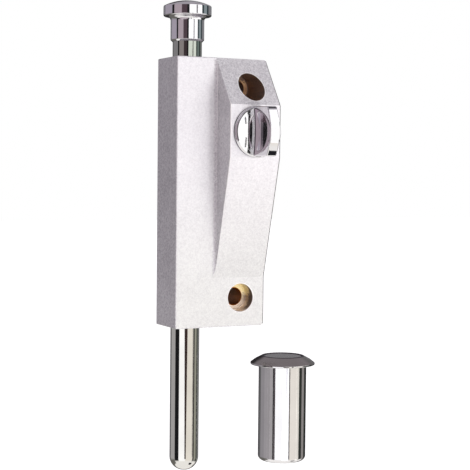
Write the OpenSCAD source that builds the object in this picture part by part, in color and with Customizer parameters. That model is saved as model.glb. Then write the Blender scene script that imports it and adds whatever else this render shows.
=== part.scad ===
// Sliding door lock: a surface-fixed bolt with a push knob, a sprung rod, a thumbturn that
// blocks the rod through a side latch, and a flanged floor socket with a sprung plunger.
// Millimetres. Origin: centre of the back face that lies on the door. +X right and +Z up seen
// from the front, +Y into the door.

/* [Housing] */
// Width of the housing
body_w = 40.4; // [40:0.1:42]
// Depth of the housing's flat part, from the door
body_d = 19.6; // [19.4:0.1:20]
// Height of the housing
body_h = 110.2; // [109:0.1:112]
// Left side of the raised wedge
wedge_x = -2.7; // [-3:0.1:-2.4]
// How far the wedge stands out of the flat part
wedge_p = 13.0; // [12.5:0.1:14]
// Top of the wedge's flat face
flat_top = 35.8; // [35.6:0.1:36.4]
// Bottom of the wedge's flat face
flat_bottom = 14.6; // [13.8:0.1:14.6]
// Where the wedge's long taper meets the flat part
taper_end = -34.7; // [-36:0.1:-34]
// Radius of the outer edges
edge_r = 0.5; // [0.3:0.05:0.6]
// Radius of the hollow fillet beside the wedge
fillet_r = 1.8; // [1:0.1:2]

/* [Fixing holes] */
// Distance between the two fixing holes
hole_pitch = 86.4; // [86:0.1:87]
// Line of the fixing holes and of the thumbturn
hole_x = 9.3; // [8.9:0.05:9.4]
// Radius of the through hole
hole_r = 3.6; // [3:0.1:3.6]
// Radius of the counterbore for the screw head
cbore_r = 5.75; // [5:0.05:5.8]
// Depth of the counterbore, from the flat front
cbore_d = 6.5; // [5:0.1:7]

/* [Bolt] */
// Radius of the bolt rod
rod_r = 6.0; // [5.9:0.05:6]
// Rod below the housing at rest
rod_below = 59.9; // [45:0.1:70]
// Rod above the housing at rest, up to the knob's neck
rod_above = 6.6; // [6.4:0.1:7.5]
// Stroke of the bolt
bolt_travel = 15; // [12:0.5:15]
// Radius of the knob's neck
neck_r = 6.9; // [6.8:0.05:6.9]
// Radius of the knob's head
head_r = 9.85; // [9.4:0.05:10.2]

/* [Thumbturn] */
// Radius of the round base
turn_r = 10.45; // [9.9:0.05:10.5]
// Thickness of the round base, in its middle
turn_t = 2.6; // [2.4:0.1:3]
// Radius of the base's domed front
turn_dome = 45; // [40:1:80]
// Thickness of the wing
wing_t = 4.3; // [4:0.1:5]
// Length of the wing
wing_l = 19.8; // [18:0.1:20]
// How far the wing stands out of the flat face
wing_p = 15.5; // [14:0.1:16]

/* [Floor socket] */
// Socket axis, to the right of the housing's middle
socket_x = 35.0; // [34.6:0.1:60]
// Radius of the socket's cup
cup_r = 10.25; // [10.2:0.05:10.6]
// Radius of the flange
flange_r = 13.85; // [13:0.05:14]
// Height of the socket, from its foot to the mouth
socket_h = 45.2; // [43:0.1:50]
// Radius of the plunger
plunger_r = 8.25; // [8.1:0.05:8.25]

/* [Hidden] */
$fn = 96;
eps = 0.05;

// outer faces of the housing
bx = body_w / 2;
by = -body_d;
bz = body_h / 2;
wy = by - wedge_p;

// rod axis and its fits
rx = -11.4;
ry = -9.8;
run_c = 0.05;            // running clearance, on radius
free_c = 0.3;            // free clearance, on radius
tip_z = -bz - rod_below;
neck_z = bz + rod_above;
tip_r = 5.6;
neck_bore_r = neck_r + 0.3;
ub_top = neck_z - bolt_travel - 0.7;   // top of the upper bush
ub_h = 8;
lb_r = 7.7;                            // lower bush and spring bore
lb_h = 10;
lb_z = -bz + 0.2;
spring_top_web = -3;                   // the casting's shoulder above the return spring
ring_z = spring_top_web - 1.4;         // retaining ring, underside
seat_z = lb_z + lb_h;                  // spring seat, underside
guide_z = 30;                          // guide pin

// thumbturn, crank and latch
tx = hole_x;
tz = 24.9;
knob_gap = 0.1;
spindle_r = 4.0;
boss_r = 7.0;
boss_y = -15.4;                        // rear end of the boss
crank_y0 = -14.6;                      // crank disc, front
crank_y1 = -11.6;                      // crank disc, rear
crank_r = 7.0;
throw_r = 5.0;                         // crank pin's radius from the turn axis
cpin_r = 1.2;
stroke = 2 * throw_r * sin(45);        // latch stroke for a quarter turn
nose_x = -1.2;                         // latch nose at rest
nose_z0 = 17.5;
nose_z1 = 23.5;
notch_x = -8.6;                        // flat of the rod's notches
yoke_x0 = 8.6;
yoke_x1 = 15.8;
latch_y0 = -11.3;
latch_y1 = -1.4;
plate_t = 1.2;
pocket_x0 = 0.5;
pocket_x1 = 17.4;

// back plate screws: x, z
screw_at = [[-2.4, 36.4], [15.4, 36.4], [-2.4, -34.9], [15.4, -34.9]];
plate_x0 = -6.2;
plate_x1 = 18.4;
plate_z0 = -37.2;
plate_z1 = 38.8;

// floor socket
sx = socket_x;
sy = ry;
sz = tip_z;                            // foot of the socket, level with the rod's tip
mouth_z = sz + socket_h;
flange_z = mouth_z - 3.0;              // flange's outer edge
flange_t = 0.8;
rim_seat = 0.4;                        // how deep the cup's rim sits in the flange
cup_in = 9.3;
skirt = 5;
plunger_top = mouth_z - 0.4;
plunger_h = 10.2;

// ---------- helpers ----------

// polygon in (Y, Z), extruded along X from x0 to x1
module yz(x0, x1) { translate([x0, 0, 0]) rotate([90, 0, 90]) linear_extrude(x1 - x0) children(); }
// polygon in (X, Z), extruded along Y from y0 (front) to y1
module xz(y0, y1) { translate([0, y1, 0]) rotate([90, 0, 0]) linear_extrude(y1 - y0) children(); }
// cylinder along Y at (x, z), from y0 to y1
module ycyl(x, z, r, y0, y1) { translate([x, y1, z]) rotate([90, 0, 0]) cylinder(r = r, h = y1 - y0); }
module zcyl(x, y, r, z0, z1) { translate([x, y, z0]) cylinder(r = r, h = z1 - z0); }
module ztube(x, y, ro, ri, z0, z1) {
  difference() { zcyl(x, y, ro, z0, z1); zcyl(x, y, ri, z0 - 1, z1 + 1); }
}
// corner to cut away: the square outside a circle of radius r whose arc touches x = 0 and y = 0
module corner2(r) {
  difference() {
    translate([-eps, -eps]) square(r + eps);
    translate([r, r]) circle(r = r);
  }
}
// rectangle with four corner radii: bottom left, bottom right, top right, top left
module rrect(x0, y0, x1, y1, rbl, rbr, rtr, rtl) {
  difference() {
    translate([x0, y0]) square([x1 - x0, y1 - y0]);
    translate([x0, y0]) corner2(rbl);
    translate([x1, y0]) mirror([1, 0]) corner2(rbr);
    translate([x1, y1]) mirror([1, 0]) mirror([0, 1]) corner2(rtr);
    translate([x0, y1]) mirror([0, 1]) corner2(rtl);
  }
}
// rounds one edge of the wedge: from (y0, z0) to (y1, z1) in the side view, at x, on its side s
module edge_cut(x, s, y0, z0, y1, z1, r) {
  len = norm([y1 - y0, z1 - z0]);
  a = atan2(z1 - z0, y1 - y0);
  // local z runs along the edge, local x and y into the metal
  translate([x, y0, z0]) rotate([a, 0, 0]) rotate([0, 90, 90])
    translate([0, 0, -0.15]) linear_extrude(len + 0.3)
      mirror([0, s > 0 ? 0 : 1]) corner2(r);
}
// points of a coil: r mean radius, z0 and z1 centres of the first and last ring, n turns, closed ends
function coil_z(t, n, z0, z1, w) =
  t < 1 ? z0 + t * w
  : t > n - 1 ? z1 - (n - t) * w
  : z0 + w + (t - 1) / (n - 2) * (z1 - z0 - 2 * w);
module coil(cx, cy, r, wr, z0, z1, n, seg, side) {
  steps = n * seg;
  pitch_w = wr * 2 + 0.06;
  pts = [for (i = [0 : steps]) let (t = i / seg, a = 360 * t, zc = coil_z(t, n, z0 + wr, z1 - wr, pitch_w))
    for (k = [0 : side - 1]) let (b = 360 * k / side)
      [cx + (r + wr * cos(b)) * cos(a), cy + (r + wr * cos(b)) * sin(a), zc + wr * sin(b)]];
  faces = concat(
    [[for (k = [0 : side - 1]) k]],
    [for (i = [0 : steps - 1]) for (k = [0 : side - 1])
      let (p = i * side + k, q = i * side + (k + 1) % side)
        [p, p + side, q]],
    [for (i = [0 : steps - 1]) for (k = [0 : side - 1])
      let (p = i * side + k, q = i * side + (k + 1) % side)
        [q, p + side, q + side]],
    [[for (k = [side - 1 : -1 : 0]) steps * side + k]]);
  polyhedron(points = pts, faces = faces, convexity = 10);
}

// ---------- housing ----------

// the wedge's outline seen from the side
function wedge_pts() = [[by + 1, taper_end - 3.79], [by, taper_end], [wy, flat_bottom],
                        [wy, flat_top], [by, bz - 0.4], [by + 1, bz - 0.4]];

module body_block() {
  intersection() {
    xz(by, 0) rrect(-bx, -bz, bx, bz, 0.7, 1.7, 1.2, 0.7);
    translate([0, 0, -bz - 1]) linear_extrude(body_h + 2)
      rrect(-bx, by, bx, 0, edge_r, edge_r, edge_r, edge_r);
    yz(-bx - 1, bx + 1) rrect(by, -bz, 0, bz, edge_r, edge_r, edge_r, edge_r);
  }
}

module wedge_block() {
  r = edge_r;
  low = fillet_r + 0.1;    // the left side's rounding starts where the wedge stands out of the fillet
  difference() {
    intersection() {
      yz(wedge_x, bx) polygon(wedge_pts());
      xz(wy - 1, 0) rrect(-bx, -bz, bx, bz, 0.7, 1.7, 1.2, 0.7);
    }
    edge_cut(bx, 1, by + 1, taper_end - 3.79, wy, flat_bottom, r);
    edge_cut(bx, 1, wy, flat_bottom, wy, flat_top, r);
    edge_cut(bx, 1, wy, flat_top, by, bz - 0.4, r);
    edge_cut(wedge_x, -1, by - low - r * 1.05, taper_end + (flat_bottom - taper_end) * low / wedge_p, wy, flat_bottom, r);
    edge_cut(wedge_x, -1, wy, flat_bottom, wy, flat_top, r);
    edge_cut(wedge_x, -1, wy, flat_top, by - low - r * 1.3, bz - 0.4 - (bz - 0.4 - flat_top) * low / wedge_p, r);
  }
}

// the soft hollow fillet between the flat front and the wedge's left side
module wedge_fillet() {
  intersection() {
    translate([wedge_x, by, taper_end - 4]) linear_extrude(bz - taper_end + 3)
      difference() {
        translate([-fillet_r, -fillet_r]) square([fillet_r + eps, fillet_r + eps]);
        translate([-fillet_r, -fillet_r]) circle(r = fillet_r);
      }
    yz(wedge_x - fillet_r - 1, wedge_x + 1) polygon(wedge_pts());
  }
}

module pockets() {
  // mechanism pocket behind the wedge, and the cored-out space under it
  yz(pocket_x0, pocket_x1) polygon([[1, 12], [-29.1, 12], [-29.8, flat_bottom + 0.3], [-29.8, 34.2], [1, 34.2]]);
  yz(pocket_x0, pocket_x1) polygon([[1, -32.6], [by + 2.4, -32.6], [-28.2, 9], [1, 9]]);
}

module housing() color([0.80, 0.79, 0.80]) {
  difference() {
    union() {
      difference() {
        union() { body_block(); wedge_block(); wedge_fillet(); }
        pockets();
      }
      // boss that carries the turn spindle
      ycyl(tx, tz, boss_r, wy + 1.5, boss_y);
    }
    // spindle bore
    ycyl(tx, tz, spindle_r + run_c, wy - 1, boss_y + 1);
    // rebate for the back plate
    translate([plate_x0, -plate_t, plate_z0]) cube([plate_x1 - plate_x0, plate_t + 1, plate_z1 - plate_z0]);
    // latch channel, open to the back for assembly
    translate([-9, latch_y0 - 0.1, nose_z0 - 0.1]) cube([10, 5.5, nose_z1 - nose_z0 + 0.2]);
    translate([-4.9, latch_y0 - 0.1, nose_z0 - 0.1]) cube([6, 12, nose_z1 - nose_z0 + 0.2]);
    // rod: neck bore and upper bush, free bore, lower bush and spring bore
    zcyl(rx, ry, neck_bore_r, ub_top - ub_h, bz + 1);
    zcyl(rx, ry, rod_r + free_c, spring_top_web - 1, ub_top);
    zcyl(rx, ry, lb_r, -bz - 1, spring_top_web);
    // guide pin and bush pin
    ycyl(rx, guide_z, 1.5, -6, 1);
    ycyl(rx + 7.4, -50, 1.0, -13, 1);
    // fixing holes with their counterbores
    for (s = [-1, 1]) {
      ycyl(hole_x, s * hole_pitch / 2, hole_r, wy - 1, 1);
      ycyl(hole_x, s * hole_pitch / 2, cbore_r, wy - 1, by + cbore_d);
    }
    // small bevel around the lower counterbore's mouth
    translate([hole_x, by - eps, -hole_pitch / 2]) rotate([-90, 0, 0])
      cylinder(r1 = cbore_r + 0.25 + eps, r2 = cbore_r, h = 0.25 + eps);
    // tapped holes for the back plate
    for (p = screw_at) ycyl(p[0], p[1], 1.25, -7.2, 0.5);
  }
}

module back_plate() color([0.62, 0.63, 0.64]) {
  difference() {
    translate([plate_x0, -plate_t, plate_z0]) cube([plate_x1 - plate_x0, plate_t, plate_z1 - plate_z0]);
    for (p = screw_at) {
      ycyl(p[0], p[1], 1.25, -2, 1);
      translate([p[0], 0, p[1]]) rotate([90, 0, 0]) translate([0, 0, -eps]) cylinder(r1 = 2.1 + eps, r2 = 1.25, h = 0.9);
    }
  }
}

module back_plate_screws() color([0.55, 0.55, 0.56]) {
  for (p = screw_at) translate([p[0], 0, p[1]]) rotate([90, 0, 0]) difference() {
    union() {
      cylinder(r1 = 2.1, r2 = 1.25, h = 0.9 - eps);
      cylinder(r = 1.25, h = 7);
    }
    for (a = [45, 135]) rotate([0, 0, a]) translate([-1.1, -0.22, -1]) cube([2.2, 0.44, 1.6]);
  }
}

module upper_bush() color([0.93, 0.92, 0.88])
  ztube(rx, ry, neck_bore_r, rod_r + run_c, ub_top - ub_h, ub_top);

module lower_bush() color([0.93, 0.92, 0.88])
  difference() {
    ztube(rx, ry, lb_r, rod_r + run_c, lb_z, lb_z + lb_h);
    ycyl(rx + 7.4, -50, 1.0, -13, 1);
  }

module bush_pin() color([0.70, 0.70, 0.71]) ycyl(rx + 7.4, -50, 1.0, -12.8, -0.2);

module guide_pin() color([0.70, 0.70, 0.71]) ycyl(rx, guide_z, 1.5, -6.4, -0.3);

// a ring bent into three low waves, between the boss and the crank disc
module wave_washer() color([0.72, 0.70, 0.62]) {
  n = 60;
  ri = 4.4; ro = 6.4; t = 0.3; amp = 0.14;
  mid = (boss_y + crank_y0) / 2;
  pts = [for (i = [0 : n - 1]) let (a = 360 * i / n, w = mid + amp * sin(3 * a))
    for (c = [[ri, -t / 2], [ro, -t / 2], [ro, t / 2], [ri, t / 2]])
      [tx + c[0] * cos(a), w + c[1], tz + c[0] * sin(a)]];
  faces = [for (i = [0 : n - 1]) for (k = [0 : 3]) for (h = [0, 1])
    let (p = i * 4 + k, q = i * 4 + (k + 1) % 4, m = 4 * n)
      h == 0 ? [p, q, (p + 4) % m] : [q, (q + 4) % m, (p + 4) % m]];
  polyhedron(points = pts, faces = faces, convexity = 4);
}

module spring_seat() color([0.66, 0.67, 0.68])
  ztube(rx, ry, lb_r - 0.2, rod_r + free_c, seat_z, seat_z + 1);

// ---------- bolt ----------

module bolt_rod() color([0.78, 0.78, 0.80]) {
  difference() {
    translate([rx, ry, 0]) rotate_extrude() union() {
      translate([0, tip_z + tip_r]) square([rod_r, neck_z + 4 - tip_z - tip_r]);
      translate([0, tip_z]) square([rod_r - tip_r, tip_r + 1]);
      intersection() {
        translate([rod_r - tip_r, tip_z + tip_r]) circle(r = tip_r);
        translate([0, tip_z]) square([rod_r, tip_r]);
      }
    }
    // groove of the retaining ring
    ztube(rx, ry, rod_r + 1, 5.6, ring_z - 0.05, ring_z + 1.05);
    // two notches, one stroke apart, that the latch drops into at either end of the stroke
    for (h = [0, bolt_travel])
      translate([notch_x, ry - 8, nose_z0 - 0.3 + h]) cube([8, 16, nose_z1 - nose_z0 + 0.6]);
    // guide slot in the back
    translate([rx - 1.65, ry + 3, guide_z - 1.8]) cube([3.3, 8, bolt_travel + 3.6]);
    // tapped hole for the knob's stud
    zcyl(rx, ry, 3, neck_z - 6, neck_z + 6);
  }
}

module push_knob() color([0.80, 0.80, 0.83]) {
  rim_z = neck_z + 10.3;               // underside of the rim
  apex = neck_z + 16.8;
  dome = 22;
  f = 1.9;
  difference() {
    translate([rx, ry, 0]) rotate_extrude() union() {
      // neck with a small bevel at its foot
      polygon([[0, neck_z], [neck_r - 0.7, neck_z], [neck_r, neck_z + 0.7], [neck_r, rim_z + 0.5], [0, rim_z + 0.5]]);
      // fillet under the head
      difference() {
        translate([0, rim_z - f]) square([neck_r + f, f + 0.5]);
        translate([neck_r + f, rim_z - f]) circle(r = f);
      }
      // head: a rim with a low dome
      intersection() {
        translate([0, rim_z]) square([head_r, 8]);
        translate([0, apex - dome]) circle(r = dome, $fn = 240);
      }
    }
    // seat of the rod and tapped hole of the stud
    zcyl(rx, ry, rod_r, neck_z - 1, neck_z + 4);
    zcyl(rx, ry, 3, neck_z, neck_z + 12.2);
  }
}

module knob_stud() color([0.60, 0.61, 0.62]) zcyl(rx, ry, 3, neck_z - 5.8, neck_z + 12);

module retaining_ring() color([0.45, 0.45, 0.46])
  difference() {
    ztube(rx, ry, 7.0, 5.6, ring_z, ring_z + 1);
    translate([rx - 1.6, ry - 8.5, ring_z - 1]) cube([3.2, 6, 3]);
  }

module spring_washer() color([0.66, 0.67, 0.68])
  ztube(rx, ry, lb_r - 0.3, rod_r, ring_z - 1, ring_z);

module return_spring() color([0.68, 0.68, 0.70])
  coil(rx, ry, 6.86, 0.5, seat_z + 1.02, ring_z - 1.02, 13, 20, 8);

// ---------- thumbturn ----------

module turn_knob() color([0.84, 0.84, 0.86]) {
  // local z runs out of the flat face, towards the hand
  translate([tx, wy - knob_gap, tz]) rotate([90, 0, 0]) {
    difference() {
      union() {
        // domed base with a rounded edge
        rotate_extrude() intersection() {
          square([turn_r, turn_t + 1]);
          offset(r = 0.9) offset(delta = -0.9) intersection() {
            translate([-turn_r, -3]) square([2 * turn_r, 3 + turn_t]);
            translate([0, turn_t - turn_dome]) circle(r = turn_dome, $fn = 480);
          }
        }
        difference() {
          translate([-wing_t / 2 - 0.05, 0, 0]) rotate([90, 0, 90]) linear_extrude(wing_t) intersection() {
            translate([-wing_l / 2, 1]) square([wing_l, wing_p - 1 - knob_gap]);
            translate([0, wing_p - knob_gap - 17.3]) circle(r = 17.3, $fn = 240);
          }
          // shallow finger scoops on both sides, straight near the base and round at the front
          for (s = [-1, 1]) intersection() {
            translate([-10, 0, 0]) rotate([90, 0, 90]) linear_extrude(20) intersection() {
              translate([-10, turn_t + 0.9]) square([20, 12]);
              translate([0, 4.6]) circle(r = 8.0);
            }
            translate([s * (wing_t / 2 + 9.0 - 1.0) - 0.05, 0, turn_t + 5.6]) rotate([90, 0, 0])
              translate([0, 0, -12]) cylinder(r = 9.0, h = 24);
          }
        }
      }
      // seat of the spindle
      translate([0, 0, -1]) cylinder(r = spindle_r, h = 2.9);
    }
  }
}

module turn_spindle() color([0.66, 0.66, 0.67]) {
  difference() {
    union() {
      ycyl(tx, tz, spindle_r, wy - knob_gap - 1.9, crank_y0);
      translate([tx - 2.3, crank_y0 - 1, tz - 2.3]) cube([4.6, 2.9, 4.6]);
    }
    ycyl(tx, tz, 1.25, -20.6, 0);
  }
}

module crank_disc() color([0.58, 0.58, 0.60]) {
  difference() {
    ycyl(tx, tz, crank_r, crank_y0, crank_y1);
    translate([tx - 2.3, crank_y0 - 1, tz - 2.3]) cube([4.6, 3.0, 4.6]);
    ycyl(tx, tz, 1.25, crank_y0 - 1, crank_y1 + 1);
    ycyl(tx, tz, 2.8, crank_y1 - 1.0, crank_y1 + 1);
    ycyl(tx + throw_r * cos(45), tz - throw_r * sin(45), cpin_r, crank_y0 - 1, crank_y1 + 1);
  }
}

module crank_pin() color([0.75, 0.75, 0.76])
  ycyl(tx + throw_r * cos(45), tz - throw_r * sin(45), cpin_r, crank_y0, -5);

module crank_screw() color([0.55, 0.55, 0.56])
  difference() {
    union() {
      ycyl(tx, tz, 2.6, crank_y1 - 1.0, crank_y1 - 0.05);
      ycyl(tx, tz, 1.25, -20, crank_y1 - 0.5);
    }
    translate([tx - 3, crank_y1 - 0.5, tz - 0.3]) cube([6, 2, 0.6]);
  }

module latch_bolt() color([0.60, 0.57, 0.50]) {
  px = tx + throw_r * cos(45);
  difference() {
    union() {
      translate([nose_x, latch_y0, nose_z0]) cube([yoke_x0 - nose_x + 1, 5.3, nose_z1 - nose_z0]);
      translate([yoke_x0, latch_y0, 16.4]) cube([yoke_x1 - yoke_x0, latch_y1 - latch_y0, 8.5]);
    }
    // slot for the crank pin
    translate([px - cpin_r - 0.25, latch_y0 - 1, tz - throw_r - cpin_r - 0.3])
      cube([2 * cpin_r + 0.5, 12, 2 * cpin_r + 0.6 + throw_r * (1 - cos(45))]);
  }
}

// ---------- floor socket ----------

module socket_cup() color([0.74, 0.73, 0.76]) {
  b = 2;
  e = flange_z - flange_t;
  translate([sx, sy, 0]) rotate_extrude() difference() {
    union() {
      // straight wall, with a bevelled rim that sits in the flange
      polygon([[0, sz + b], [cup_r, sz + b], [cup_r, e], [cup_r - rim_seat, e + rim_seat], [0, e + rim_seat]]);
      translate([0, sz]) square([cup_r - b, b + 1]);
      intersection() {
        translate([cup_r - b, sz + b]) circle(r = b);
        translate([0, sz]) square([cup_r, b]);
      }
    }
    translate([-1, sz + 2]) square([cup_in + 1, socket_h]);
  }
}

module socket_flange() color([0.45, 0.43, 0.44]) {
  e = flange_z - flange_t;
  translate([sx, sy, 0]) rotate_extrude()
    polygon([[plunger_r + run_c, e - skirt], [cup_in, e - skirt], [cup_in, e + rim_seat], [cup_r, e + rim_seat], [cup_r, e],
             [flange_r - 0.3, e], [flange_r, e + 0.3],
             [flange_r, flange_z - 0.1], [flange_r - 0.5, flange_z + 0.4], [flange_r - 2, flange_z + 1.45], [flange_r - 3.6, flange_z + 2.35],
             [plunger_r + 0.75, mouth_z - 0.05], [plunger_r + 0.45, mouth_z], [plunger_r + 0.2, mouth_z - 0.08], [plunger_r + run_c, mouth_z - 0.25]]);
}

module socket_plunger() color([0.55, 0.55, 0.57]) {
  p0 = plunger_top - plunger_h;
  translate([sx, sy, 0]) rotate_extrude()
    polygon([[0, plunger_top], [plunger_r - 0.5, plunger_top], [plunger_r, plunger_top - 0.5],
             [plunger_r, p0 + 1.5], [cup_in - 0.1, p0 + 1.5], [cup_in - 0.1, p0], [plunger_r - 1.25, p0],
             [plunger_r - 1.25, plunger_top - 2], [0, plunger_top - 2]]);
}

module socket_spring() color([0.68, 0.68, 0.70])
  coil(sx, sy, 6.0, 0.4, sz + 2.02, plunger_top - 2.02, 15, 18, 8);

housing();
back_plate();
back_plate_screws();
upper_bush();
lower_bush();
bush_pin();
guide_pin();
wave_washer();
spring_seat();
socket_cup();
socket_flange();
bolt_rod();
push_knob();
knob_stud();
retaining_ring();
spring_washer();
return_spring();
turn_knob();
turn_spindle();
crank_disc();
crank_pin();
crank_screw();
latch_bolt();
socket_plunger();
socket_spring();
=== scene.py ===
import math

import bmesh
import bpy
import numpy as np
from mathutils import Matrix, Vector


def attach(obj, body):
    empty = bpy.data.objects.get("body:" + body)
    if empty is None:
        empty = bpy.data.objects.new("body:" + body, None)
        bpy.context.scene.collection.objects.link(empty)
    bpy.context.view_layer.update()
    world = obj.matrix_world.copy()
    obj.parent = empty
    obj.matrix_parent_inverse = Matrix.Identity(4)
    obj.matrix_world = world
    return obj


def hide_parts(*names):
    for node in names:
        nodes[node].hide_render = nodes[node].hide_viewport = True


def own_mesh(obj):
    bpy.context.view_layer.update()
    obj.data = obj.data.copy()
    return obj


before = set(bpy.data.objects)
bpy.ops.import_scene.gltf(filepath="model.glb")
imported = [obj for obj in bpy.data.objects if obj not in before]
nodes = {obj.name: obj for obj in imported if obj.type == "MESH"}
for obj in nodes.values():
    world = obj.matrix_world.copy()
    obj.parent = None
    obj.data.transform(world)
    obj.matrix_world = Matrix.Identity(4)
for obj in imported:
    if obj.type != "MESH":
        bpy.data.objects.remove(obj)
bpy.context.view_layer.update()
scene = bpy.context.scene

# ------------------------------------------------------------------ sizes, in millimetres
MM = 0.001
RX, RY = -11.4, -9.8            # rod axis
TX, TY, TZ = 9.3, -32.7, 24.9   # thumbturn: back of its base
SX, SY, SZ = 35.0, -9.8, -115.0  # floor socket: its foot
NECK_Z = 61.7
TIP_Z = -115.0
HOLE_X, HOLE_Z = 9.3, 43.2

# ------------------------------------------------------------------ camera, at the photograph's viewing angle
F_PX, AZ, EL, ROLL = 1300.0, math.radians(26.94), math.radians(2.69), math.radians(-0.58)
sa, ca, se, ce = math.sin(AZ), math.cos(AZ), math.sin(EL), math.cos(EL)
back = Vector((-sa * ce, -ca * ce, se))
right = Vector((ca, -sa, 0.0))
up = back.cross(right)
turn = Matrix.Rotation(ROLL, 3, "Z") @ Matrix((right, up, back))      # world to camera
shift = Vector((-24.13, -38.15, -525.47))                             # the fit's origin, seen by the camera
place = -(turn.transposed() @ shift) + Vector((-20.2, -19.6, -55.1))
cam_data = bpy.data.cameras.new("camera")
cam_data.sensor_width = 36.0
cam_data.lens = F_PX / 470.0 * 36.0
cam_data.clip_start = 0.01
cam_data.clip_end = 20.0
cam = bpy.data.objects.new("camera", cam_data)
scene.collection.objects.link(cam)
cam.matrix_world = Matrix.Translation(place * MM) @ turn.transposed().to_4x4()
scene.camera = cam
scene.view_settings.view_transform = "Standard"
scene.view_settings.look = "None"


# ------------------------------------------------------------------ shader helpers
class Net:
    """A material's node tree, with short calls for the nodes used here."""

    def __init__(self, name):
        self.mat = bpy.data.materials.new(name)
        self.mat.use_nodes = True
        self.t = self.mat.node_tree
        self.bsdf = self.t.nodes["Principled BSDF"]
        self._obj = None

    def node(self, kind, **props):
        n = self.t.nodes.new(kind)
        for k, v in props.items():
            setattr(n, k, v)
        return n

    def link(self, a, b):
        self.t.links.new(a, b)

    def put(self, socket, value):
        if hasattr(value, "is_linked") or hasattr(value, "links"):
            self.link(value, socket)
        else:
            socket.default_value = value

    def pos(self):
        """Object coordinates in millimetres: every piece's origin is the frame's."""
        if self._obj is None:
            tc = self.node("ShaderNodeTexCoord")
            m = self.node("ShaderNodeVectorMath", operation="SCALE")
            self.link(tc.outputs["Object"], m.inputs[0])
            m.inputs["Scale"].default_value = 1000.0
            self._obj = m.outputs[0]
        return self._obj

    def stretched(self, scale, offset=(0, 0, 0)):
        m = self.node("ShaderNodeMapping")
        self.link(self.pos(), m.inputs["Vector"])
        m.inputs["Location"].default_value = offset
        m.inputs["Scale"].default_value = scale
        return m.outputs[0]

    def noise(self, scale, detail=2.0, rough=0.5, vector=None, distort=0.0):
        n = self.node("ShaderNodeTexNoise")
        self.link(vector or self.pos(), n.inputs["Vector"])
        n.inputs["Scale"].default_value = scale
        n.inputs["Detail"].default_value = detail
        n.inputs["Roughness"].default_value = rough
        n.inputs["Distortion"].default_value = distort
        return n.outputs["Fac"]

    def math(self, op, a, b=0.0, c=0.0, clamp=False):
        n = self.node("ShaderNodeMath", operation=op, use_clamp=clamp)
        for s, v in zip(n.inputs, (a, b, c)):
            self.put(s, v)
        return n.outputs[0]

    def remap(self, v, lo, hi, a, b):
        n = self.node("ShaderNodeMapRange")
        self.put(n.inputs["Value"], v)
        for k, x in (("From Min", lo), ("From Max", hi), ("To Min", a), ("To Max", b)):
            n.inputs[k].default_value = x
        return n.outputs[0]

    def remap_clamped(self, v, lo, hi, a, b):
        n = self.node("ShaderNodeMapRange", interpolation_type="SMOOTHSTEP")
        self.put(n.inputs["Value"], v)
        for k, x in (("From Min", lo), ("From Max", hi), ("To Min", a), ("To Max", b)):
            n.inputs[k].default_value = x
        return n.outputs[0]

    def ramp(self, v, stops, mode="LINEAR"):
        n = self.node("ShaderNodeValToRGB")
        self.link(v, n.inputs["Fac"])
        cr = n.color_ramp
        cr.interpolation = mode
        while len(cr.elements) < len(stops):
            cr.elements.new(0.5)
        for e, (p, col) in zip(cr.elements, stops):
            e.position = p
            e.color = (*col, 1.0) if len(col) == 3 else col
        return n.outputs["Color"]

    def mix(self, f, a, b, mode="MIX"):
        n = self.node("ShaderNodeMix", data_type="RGBA", blend_type=mode)
        self.put(n.inputs["Factor"], f)
        for s, v in ((n.inputs[6], a), (n.inputs[7], b)):
            self.put(s, (*v, 1.0) if isinstance(v, tuple) and len(v) == 3 else v)
        return n.outputs[2]

    def xyz(self, vector=None):
        n = self.node("ShaderNodeSeparateXYZ")
        self.link(vector or self.pos(), n.inputs[0])
        return n.outputs

    def bump(self, height, distance_mm, strength=1.0, normal=None):
        n = self.node("ShaderNodeBump")
        self.put(n.inputs["Height"], height)
        n.inputs["Distance"].default_value = distance_mm * MM
        n.inputs["Strength"].default_value = strength
        if normal is not None:
            self.link(normal, n.inputs["Normal"])
        return n.outputs[0]

    def set(self, **kw):
        names = {"color": "Base Color", "metal": "Metallic", "rough": "Roughness", "normal": "Normal",
                 "ior": "IOR", "coat": "Coat Weight", "coat_rough": "Coat Roughness", "spec": "Specular IOR Level",
                 "aniso": "Anisotropic", "sheen": "Sheen Weight"}
        for k, v in kw.items():
            if isinstance(v, tuple) and len(v) == 3:
                v = (*v, 1.0)
            self.put(self.bsdf.inputs[names[k]], v)
        return self.mat


# ------------------------------------------------------------------ materials
def hole_radius(n):
    """Distance from the nearer screw hole's axis, with the offsets from it."""
    x, y, z = n.xyz()
    dx = n.math("SUBTRACT", x, HOLE_X)
    dz = n.math("SUBTRACT", n.math("ABSOLUTE", z), HOLE_Z)
    rr = n.math("SQRT", n.math("ADD", n.math("MULTIPLY", dx, dx), n.math("MULTIPLY", dz, dz)))
    return x, y, z, dx, dz, rr


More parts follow.
